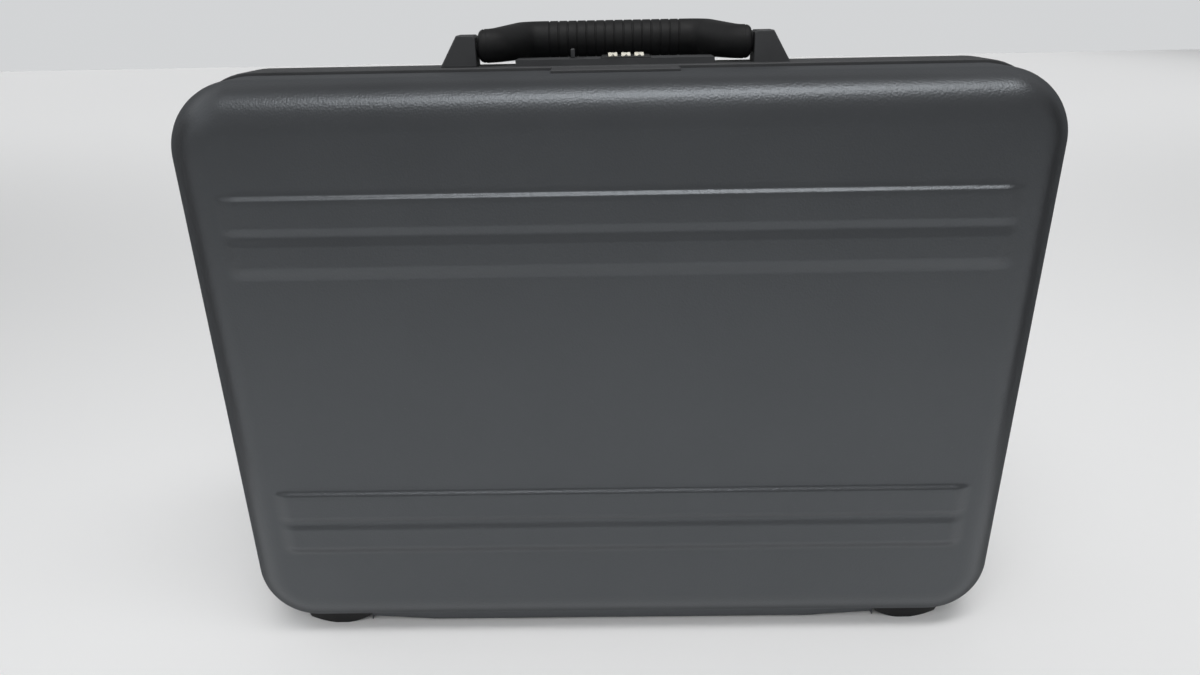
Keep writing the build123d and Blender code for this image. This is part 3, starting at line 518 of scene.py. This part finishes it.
def faceSurface(inset, rimY, withRibs, lip=0.0, back=False, sparse=False):
    # A point goes straight out from the flat middle, or round a corner's centre where both ways
    # pass it: the further way gives the ring, the ratio of both gives the angle
    halfX = caseForm["halfWidth"] - caseForm["cornerRadius"]
    halfZ = caseForm["halfHeight"] - caseForm["cornerRadius"]
    if sparse:
        xLines = np.linspace(-halfX, halfX, 24)
        zLines = np.linspace(-halfZ, halfZ, 18)
    else:
        xLines = shellLines(halfX, [])
        reachOut = ribForm["softWidth"] * ribForm["lineReach"]
        steps = [(height, reachOut, ribForm["lines"]) for group in ribForm["groups"] for height in group]
        zLines = shellLines(halfZ, steps)
    flatSteps = 16 if withRibs else 5
    reach, depth = radialLines(inset, rimY, flatSteps, lip)
    rings = np.arange(1, len(reach) + 1)
    u = np.concatenate([-(halfX + rings[::-1]), xLines, halfX + rings])
    v = np.concatenate([-(halfZ + rings[::-1]), zLines, halfZ + rings])
    uu, vv = np.meshgrid(u, v, indexing="ij")
    du = np.maximum(np.abs(uu) - halfX, 0)
    dv = np.maximum(np.abs(vv) - halfZ, 0)
    ring = np.maximum(du, dv)
    index = np.round(ring).astype(int)
    allReach = np.concatenate([[0.0], reach])
    allDepth = np.concatenate([[-caseForm["halfDepth"] + inset], depth])
    rho = allReach[index]
    y = allDepth[index]
    tiny = 1e-9
    ratio = np.where(ring > 0, np.minimum(du, dv) / np.maximum(ring, tiny), 0) * math.pi / 4
    angle = np.where(du >= dv, ratio, math.pi / 2 - ratio)
    x = np.sign(uu) * (np.minimum(np.abs(uu), halfX) + rho * np.cos(angle))
    z = np.sign(vv) * (np.minimum(np.abs(vv), halfZ) + rho * np.sin(angle))
    if withRibs:
        flat = rho <= caseForm["cornerRadius"] - caseForm["edgeRounding"] + tiny
        y = y - np.where(flat, ribRelief(x, z), 0)
    if back:
        y = -y
    points = np.stack([x, y, z + caseForm["middleZ"]], -1)
    return points, gridFaces(len(u), len(v))


shellForm = {"wall": 3.0 * mm, "lip": 0.5 * mm}
for label, rimY, back in (("lid", caseForm["lidRimY"], False), ("base", -caseForm["baseRimY"], True)):
    points, faces = faceSurface(0, rimY, True, shellForm["lip"], back=back)
    makePiece(label + "ShellSkin", points, faces, label, materials["shell"], [label + "_shell"],
              solid=shellForm["wall"])
print("shells made")


# Rails moulded under the shells, between the feet

railForm = {"halfLength": 161.0 * mm, "front": -43.2 * mm, "back": -18.7 * mm, "bottom": 2.5 * mm,
            "top": 9.0 * mm, "round": 1.6 * mm}


def railSurface(sign):
    # Rounded bar: a rounded-corner section carried along X, drawn in at both ends
    f = railForm
    turn = np.linspace(0, math.pi / 2, 6)
    r = f["round"]
    section = [(f["front"], f["top"])]
    section += [(f["front"] + r - r * math.cos(a), f["bottom"] + r - r * math.sin(a)) for a in turn]
    section += [(f["back"] - r + r * math.sin(a), f["bottom"] + r - r * math.cos(a)) for a in turn]
    section += [(f["back"], f["top"])]
    section = np.array(section)
    straight = np.linspace(-f["halfLength"] + r, f["halfLength"] - r, 9)[1:-1]
    x = np.concatenate([-f["halfLength"] + r * (1 - np.sin(turn)), straight,
                        f["halfLength"] - r * (1 - np.sin(turn[::-1]))])
    shrink = np.concatenate([np.cos(turn), np.zeros(len(straight)), np.cos(turn[::-1])]) * r
    order = np.argsort(x)
    x = x[order]
    shrink = shrink[order]
    centreY = (f["front"] + f["back"]) / 2
    yy = centreY + (section[None, :, 0] - centreY) * (1 - shrink[:, None] / ((f["back"] - f["front"]) / 2))
    zz = f["top"] + (section[None, :, 1] - f["top"]) * (1 - shrink[:, None] / (f["top"] - f["bottom"]))
    xx = np.repeat(x[:, None], len(section), axis=1)
    return np.stack([xx, sign * yy, zz], -1), gridFaces(len(x), len(section), False, True)


for sign, body, label in ((1, "lid", "lidRail"), (-1, "base", "baseRail")):
    points, faces = railSurface(sign)
    makePiece(label, points, faces, body, materials["shell"])


dressNode("base_frame", materials["satin"], 0.25 * mm)
dressNode("lid_frame", materials["satinDark"], 0.25 * mm)
print("frames made")


# Handle

# Millimetres, in the handle's own plan: X along its axis, the bow out from it; tilt in degrees
handleForm = {
    "axisY": 3.6, "axisZ": 349.9, "endX": 73.7, "cornerX": 66.0, "gripX": 50.0, "bow": 30.0,
    "endBend": 9.2, "gripBend": 14.0, "endRadius": 8.7, "gripRadius": 10.0, "tilt": 2.48,
    # the grip swells to its full radius between these two distances out from the axis
    "swellStart": 1.0, "swellEnd": 26.0,
    "collarStart": 69.8, "collarDip": 0.3, "collarWidth": 0.6,
    "gripEnd": 73.0, "endRound": 3.6, "endDrop": 2.6, "around": 48,
    # a groove's floor and its rim, as shares of its width from its middle
    "grooves": 15, "pitch": 5.2, "grooveWidth": 0.9, "grooveDepth": 0.42,
    "grooveFloor": 0.25, "grooveRim": 0.6,
}


def handlePath(stepLength=0.2):
    # Straight runs and arcs from the left end to the right: points and the direction at each
    f = handleForm
    turn = math.atan2(f["bow"], f["cornerX"] - f["gripX"])
    corners = [(-f["endX"], 0), (-f["cornerX"], 0), (-f["gripX"], f["bow"]), (f["gripX"], f["bow"]),
               (f["cornerX"], 0), (f["endX"], 0)]
    bends = [f["endBend"], f["gripBend"], f["gripBend"], f["endBend"]]
    signs = [1, -1, -1, 1]
    points, angles = [], []
    position = np.array(corners[0], float)
    heading = 0.0
    for index, (bend, sign) in enumerate(zip(bends, signs)):
        corner = np.array(corners[index + 1], float)
        tangent = bend * math.tan(turn / 2)
        way = np.array([math.cos(heading), math.sin(heading)])
        runEnd = corner - way * tangent
        length = np.linalg.norm(runEnd - position)
        count = max(int(length / stepLength), 2)
        for t in np.linspace(0, 1, count, endpoint=False):
            points.append(position + (runEnd - position) * t)
            angles.append(heading)
        centre = runEnd + bend * sign * np.array([-math.sin(heading), math.cos(heading)])
        count = max(int(bend * turn / stepLength), 6)
        for t in np.linspace(0, 1, count, endpoint=False):
            a = heading + sign * turn * t
            points.append(centre + bend * sign * np.array([math.sin(a), -math.cos(a)]))
            angles.append(a)
        heading += sign * turn
        position = centre + bend * sign * np.array([math.sin(heading), -math.cos(heading)])
    end = np.array(corners[-1], float)
    for t in np.linspace(0, 1, 8):
        points.append(position + (end - position) * t)
        angles.append(heading)
    return np.array(points), np.array(angles)


def layHandle(points):
    # From the handle's own flat plan, in millimetres, to its place on the case
    tilt = math.radians(handleForm["tilt"])
    x, v, w = points[..., 0], points[..., 1], points[..., 2]
    y = v * math.cos(tilt) - w * math.sin(tilt)
    z = v * math.sin(tilt) + w * math.cos(tilt)
    return np.stack([x, y + handleForm["axisY"], z + handleForm["axisZ"]], -1) * mm


def gripSurface():
    # Tube: a circle square to the path; its radius grows along the arms and dips in each groove
    f = handleForm
    path, angles = handlePath()
    keep = np.abs(path[:, 0]) <= f["gripEnd"]
    path, angles = path[keep], angles[keep]
    bowShare = np.clip((path[:, 1] - f["swellStart"]) / (f["swellEnd"] - f["swellStart"]), 0, 1)
    radius = f["endRadius"] + (f["gripRadius"] - f["endRadius"]) * bowShare
    fromCollar = np.abs(np.abs(path[:, 0]) - f["collarStart"])
    radius = radius - f["collarDip"] * (1 - smoothStep(0, f["collarWidth"], fromCollar))
    first = -f["pitch"] * (f["grooves"] - 1) / 2
    floor, rim = f["grooveWidth"] * f["grooveFloor"], f["grooveWidth"] * f["grooveRim"]
    for index in range(f["grooves"]):
        distance = np.abs(path[:, 0] - (first + index * f["pitch"]))
        dip = 1 - smoothStep(floor, rim, distance)
        radius = radius - f["grooveDepth"] * dip * (path[:, 1] > f["bow"] - 1)
    ends = np.minimum(path[:, 0] - path[0, 0], path[-1, 0] - path[:, 0])
    radius = radius - f["endDrop"] * (1 - np.sqrt(1 - (1 - np.clip(ends / f["endRound"], 0, 1)) ** 2))
    around = np.linspace(0, 2 * math.pi, f["around"] + 1)[:-1]
    side = np.stack([-np.sin(angles), np.cos(angles)], -1)
    ring = radius[:, None] * np.cos(around)[None, :]
    x = path[:, None, 0] + ring * side[:, None, 0]
    v = path[:, None, 1] + ring * side[:, None, 1]
    w = radius[:, None] * np.sin(around)[None, :]
    return np.stack([x, v, w], -1)


def makeTube(name, points, body, material, replaced):
    # Rows of rings joined by quads, with a fan of triangles to a middle point over each end
    rows, columns = points.shape[:2]
    flat = points.reshape(-1, 3)
    middles = np.stack([points[0].mean(0), points[-1].mean(0)])
    c = np.arange(columns)
    fans = []
    for row, middle in ((0, len(flat)), (rows - 1, len(flat) + 1)):
        start = row * columns
        fans += np.stack([start + c, start + (c + 1) % columns, np.full(columns, middle)], -1).tolist()
    mesh = bpy.data.meshes.new(name)
    mesh.from_pydata(np.concatenate([flat, middles]).tolist(), [],
                     gridFaces(rows, columns, False, True).tolist() + fans)
    finishMesh(mesh, meshForm["tubeWeld"], meshForm["tubeSharp"])
    settle(newObject(name, mesh), body, material, replaced)


makeTube("gripSleeve", layHandle(gripSurface()), "handle", materials["rubber"],
         ["handle_grip"])


def turned(profile, sign, around=40):
    # Turned piece on the handle's axis: profile of (x, radius), carried round X
    angle = np.linspace(0, 2 * math.pi, around + 1)[:-1]
    profile = np.array(profile, float)
    x = np.repeat(sign * profile[:, None, 0], around, axis=1)
    v = profile[:, None, 1] * np.cos(angle)[None, :]
    w = profile[:, None, 1] * np.sin(angle)[None, :]
    return np.stack([x, v, w], -1)


capForm = {
    "start": 69.4, "neck": 5.9, "full": 6.3, "roundStart": 71.4, "end": 73.6, "tip": 4.9, "bore": 2.6,
    # the flare's two points: how far on from the start, and how far above the neck or the full radius
    "flareLow": (0.35, 0.3), "flareHigh": (0.6, -0.1),
}


def capProfile():
    # (x, radius) in millimetres: bore, neck, a short flare, then a quarter of an ellipse down to the tip
    f = capForm
    turn = np.linspace(0, math.pi / 2, 9)
    low, high = f["flareLow"], f["flareHigh"]
    profile = [(f["start"], f["bore"]), (f["start"], f["neck"]),
               (f["start"] + low[0], f["neck"] + low[1]), (f["start"] + high[0], f["full"] + high[1])]
    profile += [(f["roundStart"] + (f["end"] - f["roundStart"]) * math.sin(a),
                 f["tip"] + (f["full"] - f["tip"]) * math.cos(a)) for a in turn]
    return profile + [(f["end"], f["bore"])]


for side, sign in (("left", -1), ("right", 1)):
    makeTube("ferruleCap_" + side, layHandle(turned(capProfile(), sign)), "handle",
             materials["ferrule"], ["ferrule_" + side])
print("handle made")


# Small parts keep their CAD shape, with broken edges: node, slot, material, edge in millimetres

smallParts = [
    ("handle_post_left", "frame_plastic", "satin", 0.5),
    ("handle_post_right", "frame_plastic", "satin", 0.5),
    ("lock_housing", "frame_plastic", "satin", 0.4),
    ("lock_bezel", "frame_plastic", "satinDark", 0.15),
    ("strike_plate", "frame_plastic", "satin", 0.35),
    ("release_knob", "frame_plastic", "satin", 0.15),
    ("lid_foot_left", "foot_rubber", "footRubber", 1.6),
    ("lid_foot_right", "foot_rubber", "footRubber", 1.6),
    ("base_foot_left", "foot_rubber", "footRubber", 1.6),
    ("base_foot_right", "foot_rubber", "footRubber", 1.6),
    ("hinge_lid_leaf", "steel", "drawnSteel", 0.1),
    ("hinge_base_leaf", "steel", "drawnSteel", 0.1),
    ("lock_back_plate", "steel", "drawnSteel", 0.2),
    ("stay_left", "steel", "steel", 0.2),
    ("stay_right", "steel", "steel", 0.2),
    ("strap_buckle", "trim_metal", "satinDark", 0.4),
    ("strap_anchors", "trim_metal", "satinDark", 0.4),
    ("handle_pin_left", "steel", "steel", 0.3),
    ("handle_pin_right", "steel", "steel", 0.3),
]
footTaper = 0.13


def narrowDown(piece):
    # A foot gets narrower towards the ground: its plan is drawn in about its middle, in step with
    # the height
    spots = np.zeros(len(piece.data.vertices) * 3)
    piece.data.vertices.foreach_get("co", spots)
    spots = spots.reshape(-1, 3)
    low, high = spots.min(0), spots.max(0)
    middle = (low[:2] + high[:2]) / 2
    drop = (high[2] - spots[:, 2:]) / (high[2] - low[2])
    spots[:, :2] = middle + (spots[:, :2] - middle) * (1 - footTaper * drop)
    piece.data.vertices.foreach_set("co", spots.ravel())
    piece.data.update()


for node, slotName, finish, edge in smallParts:
    piece = dressNode(node, materials[finish], edge * mm)
    if slotName == "foot_rubber":
        narrowDown(piece)

# Parts that show as they are
plainFinish = {
    "lid_seal": "footRubber", "handle_core": "ferrule", "hinge_pin": "steel", "hinge_lid_rivets": "steel",
    "hinge_base_rivets": "steel", "lid_foot_screws": "steel", "base_foot_screws": "steel",
    "post_screws": "steel", "lock_screws": "steel", "dial_axle": "steel", "lock_spring": "drawnSteel",
    "release_bar": "steel", "striker_left": "steel", "striker_right": "steel",
    "stay_base_stud_left": "steel", "stay_base_stud_right": "steel", "stay_lid_pivot_left": "steel",
    "stay_lid_pivot_right": "steel",
}
for node, finish in plainFinish.items():
    frame["nodes"][node].data.materials.clear()
    frame["nodes"][node].data.materials.append(materials[finish])
print("small parts dressed")


# Number wheels with inked numbers, in millimetres

dialForm = {
    "x": [-1.1, 6.0, 13.1], "axisY": 3.6, "axisZ": 338.3, "radius": 7.2, "halfWidth": 2.5, "edge": 0.45,
    "hub": 1.55, "faces": 10, "around": 240,
    # a notch's depth, the share of a face where it starts, and the radii between which it fades in
    "notch": 0.35, "notchStart": 0.82, "fadeStart": 5.5, "fadeEnd": 7.0,
    # the numbers: size of the lettering, and how far they stand off the wheel
    "letterSize": 4.05, "lift": 0.03,
}


def wheelSurface(x):
    # Turned wheel; the rim dips a little between the number faces, and its edges are rounded
    f = dialForm
    angle = np.linspace(0, 2 * math.pi, f["around"] + 1)[:-1]
    cell = np.abs(((angle * f["faces"] / (2 * math.pi)) % 1.0) - 0.5) * 2
    dip = f["notch"] * smoothStep(f["notchStart"], 1.0, cell)
    turn = np.linspace(0, math.pi / 2, 5)
    e = f["edge"]
    profile = [(-f["halfWidth"], f["hub"])]
    profile += [(-f["halfWidth"] + e - e * math.cos(a), f["radius"] - e + e * math.sin(a)) for a in turn]
    profile += [(f["halfWidth"] - e + e * math.sin(a), f["radius"] - e + e * math.cos(a)) for a in turn]
    profile += [(f["halfWidth"], f["hub"])]
    profile = np.array(profile)
    share = np.clip((profile[:, 1] - f["fadeStart"]) / (f["fadeEnd"] - f["fadeStart"]), 0, 1)
    radius = profile[:, None, 1] - share[:, None] * dip[None, :]
    xx = np.repeat(x + profile[:, None, 0], len(angle), axis=1)
    yy = f["axisY"] + radius * np.sin(angle)[None, :]
    zz = f["axisZ"] + radius * np.cos(angle)[None, :]
    return np.stack([xx, yy, zz], -1) * mm


def digitMesh(text, size):
    # Flat outline of one number, cut into triangles and centred
    curve = bpy.data.curves.new("digit", "FONT")
    curve.body = text
    curve.size = size
    curve.align_x = "CENTER"
    curve.align_y = "CENTER"
    holder = newObject("digit", curve)
    bpy.context.view_layer.update()
    seen = holder.evaluated_get(bpy.context.evaluated_depsgraph_get())
    mesh = bpy.data.meshes.new_from_object(seen)
    work = bmesh.new()
    work.from_mesh(mesh)
    bmesh.ops.triangulate(work, faces=work.faces)
    work.to_mesh(mesh)
    work.free()
    verts = np.zeros(len(mesh.vertices) * 3)
    mesh.vertices.foreach_get("co", verts)
    verts = verts.reshape(-1, 3)[:, :2]
    faces = np.zeros(len(mesh.loops), int)
    mesh.loops.foreach_get("vertex_index", faces)
    faces = faces.reshape(-1, 3)
    bpy.data.objects.remove(holder)
    bpy.data.meshes.remove(mesh)
    verts = verts - (verts.max(0) + verts.min(0)) / 2
    return verts, faces


def numberRing(x):
    # The ten numbers, bent round the wheel: a number's height runs along the arc
    f = dialForm
    allPoints, allFaces, count = [], [], 0
    for number in range(f["faces"]):
        verts, faces = digitMesh(str(number), f["letterSize"])
        turnTo = 2 * math.pi * number / f["faces"]
        radius = f["radius"] + f["lift"]
        angle = turnTo - verts[:, 1] / radius
        allPoints.append(np.stack([x + verts[:, 0], f["axisY"] + radius * np.sin(angle),
                                   f["axisZ"] + radius * np.cos(angle)], -1))
        allFaces.append(faces + count)
        count += len(verts)
    return np.concatenate(allPoints) * mm, np.concatenate(allFaces)


for number, x in enumerate(dialForm["x"], start=1):
    surface = wheelSurface(x)
    faces = gridFaces(*surface.shape[:2], False, True)
    body = f"dial_{number}"
    makePiece(f"numberWheel_{number}", surface, faces, body, materials["ivory"],
              [f"dial_wheel_{number}"], weld=meshForm["fineWeld"])
    points, faces = numberRing(x)
    mesh = bpy.data.meshes.new(f"wheelNumbers_{number}")
    mesh.from_pydata(points.tolist(), [], faces.tolist())
    settle(newObject(f"wheelNumbers_{number}", mesh), body, materials["ink"])
print("dials made")


# Linings, pocket and strap

liningForm = {"inset": 3.4 * mm, "thick": 1.4 * mm, "lidRimY": -25.4 * mm, "baseRimY": 27.4 * mm}
for label, rimY, back in (("lid", liningForm["lidRimY"], False), ("base", -liningForm["baseRimY"], True)):
    points, faces = faceSurface(liningForm["inset"], rimY, False, back=back, sparse=True)
    makePiece(label + "LiningSkin", points, faces, label, materials["lining"],
              [label + "_lining"], solid=liningForm["thick"])
dressNode("document_pocket", materials["pocket"], 0.5 * mm)
dressNode("document_strap", materials["webbing"], 0.2 * mm)
print("inside made")


# Floor, light and camera

studio = {
    "floorSize": 10.0, "floorColor": rgb(0.88, 0.88, 0.88), "floorTone": rgb(0.86, 0.86, 0.865),
    # the soft room's brightness: everywhere, low down all round, overhead, behind the case, at its left
    "roomBase": 0.06, "roomAround": 0.28, "roomTop": 0.15, "roomBack": 0.33, "roomLeft": 0.6,
    "roomColor": rgb(0.97, 0.985, 1.0),
    # cards beside the case, seen only in its gloss: how far out, their front, back and top
    "cardSide": 0.42, "cardFront": -0.12, "cardBack": 1.2, "cardTop": 0.42,
    "cardTones": {"Left": 0.2, "Right": 0.01},
}

# Lamps: the strip gives the long highlights; fill and back only light the room, unseen in the gloss
lamps = {
    "strip": {"place": (0.3, -0.6, 2.3), "aim": (0.1, 0.1, 0.0), "size": (2.6, 0.45), "power": 6.6,
              "spread": 84.0, "mirrored": True},
    "fill": {"place": (0.0, -1.5, 1.5), "aim": (0.0, -0.02, 0.0), "size": (2.4, 0.8), "power": 3.9,
             "spread": 70.0, "mirrored": False},
    "back": {"place": (-0.8, 4.2, 3.0), "aim": (-0.8, 4.1, 0.0), "size": (9.0, 6.2), "power": 88.0,
             "spread": 60.0, "mirrored": False},
}


def stageSheet(name, corner, across, along, material):
    # Flat sheet: from its corner, so far across and so far along
    share = np.linspace(0, 1, 3)
    u, v = np.meshgrid(share, share, indexing="ij")
    points = np.array(corner) + u[..., None] * np.array(across) + v[..., None] * np.array(along)
    mesh = bpy.data.meshes.new(name)
    mesh.from_pydata(points.reshape(-1, 3).tolist(), [], gridFaces(3, 3).tolist())
    mesh.materials.append(material)
    sheet = newObject(name, mesh)
    return sheet


def floorMaterial():
    material, tree, shader = startMaterial("floorPaint", {"Roughness": 0.8, "Specular IOR Level": 0.0})
    soft = noise(tree, place(tree), 3.0, 2.0)
    feed(tree, shader, color=mixColors(tree, soft * 0.15, studio["floorColor"], studio["floorTone"]))
    return material


def studioSheets():
    half = studio["floorSize"] / 2
    stageSheet("floor", (-half, -half, 0), (2 * half, 0, 0), (0, 2 * half, 0), floorMaterial())
    for side, sign in (("Left", -1), ("Right", 1)):
        tone = studio["cardTones"][side]
        dull = {"Base Color": rgb(tone, tone, tone), "Roughness": 0.9, "Specular IOR Level": 0.0}
        material = startMaterial("card" + side, dull)[0]
        corner = (sign * studio["cardSide"], studio["cardFront"], 0)
        card = stageSheet("card" + side, corner, (0, studio["cardBack"] - studio["cardFront"], 0),
                          (0, 0, studio["cardTop"]), material)
        card.visible_camera = card.visible_diffuse = card.visible_shadow = False


def softLight(name, form):
    # A flat lamp; one that isn't mirrored lights the room without showing in the gloss
    light = bpy.data.lights.new(name, "AREA")
    light.shape = "RECTANGLE"
    light.size, light.size_y = form["size"]
    light.energy = form["power"]
    light.spread = math.radians(form["spread"])
    holder = newObject(name, light)
    holder.location = form["place"]
    way = Vector(form["aim"]) - Vector(form["place"])
    holder.rotation_euler = way.to_track_quat("-Z", "Y").to_euler()
    holder.visible_glossy = form["mirrored"]
    holder.visible_camera = False


def softRoom():
    # Room light by direction: brighter low down and overhead, more so low down behind the case and
    # higher up at its left
    world = bpy.data.worlds.new("softRoom")
    world.use_nodes = True
    tree = world.node_tree
    direction = addNode(tree, "ShaderNodeTexCoord", out=0)
    east, north, up = [addNode(tree, "ShaderNodeSeparateXYZ", inputs={0: direction}, out=index)
                       for index in range(3)]
    overhead = fade(tree, up, 0.35, 0.8)
    low = fade(tree, up, 0.75, 0.15)
    behind = fade(tree, north, 0.35, 0.85) * low
    left = fade(tree, east, -0.35, -0.8) * fade(tree, up, 0.15, 0.45)
    strength = overhead * studio["roomTop"] + behind * studio["roomBack"] + left * studio["roomLeft"]
    strength = strength + low * studio["roomAround"] + studio["roomBase"]
    background = tree.nodes["Background"]
    background.inputs[0].default_value = studio["roomColor"]
    tree.links.new(strength.socket, background.inputs[1])
    bpy.context.scene.world = world


bpy.context.scene.view_settings.view_transform = "Standard"  # plain tones, as a pocket camera gives
studioSheets()
for name, form in lamps.items():
    softLight(name + "Light", form)
softRoom()

# From the fit to the case's outline: place in metres, angles in degrees, sensor in millimetres
cameraForm = {"place": (-0.00444, -0.46684, 0.37365), "pitch": 22.458, "yaw": -0.792, "roll": -1.119,
              "focalPixels": 825.5, "photoWidth": 1200.0, "sensor": 36.0}


def aimCamera():
    # Heading and pitch give the view line; roll turns the picture about it
    yaw, pitch, roll = (math.radians(cameraForm[key]) for key in ("yaw", "pitch", "roll"))
    c, s = math.cos(yaw), math.sin(yaw)
    right = Vector((c, -s, 0))
    forward = Vector((s * math.cos(pitch), c * math.cos(pitch), -math.sin(pitch)))
    up = Vector((s * math.sin(pitch), c * math.sin(pitch), math.cos(pitch)))
    rolledRight = right * math.cos(roll) + up * math.sin(roll)
    rolledUp = up * math.cos(roll) - right * math.sin(roll)
    camera = bpy.data.cameras.new("photoCamera")
    camera.sensor_width = cameraForm["sensor"]
    camera.lens = cameraForm["focalPixels"] / cameraForm["photoWidth"] * cameraForm["sensor"]
    camera.clip_start = 0.01
    holder = newObject("photoCamera", camera)
    turn = Matrix((rolledRight, rolledUp, -forward)).transposed()
    holder.matrix_world = Matrix.Translation(Vector(cameraForm["place"])) @ turn.to_4x4()
    bpy.context.scene.camera = holder


aimCamera()
print("floor, light and camera set")

bpy.context.view_layer.update()
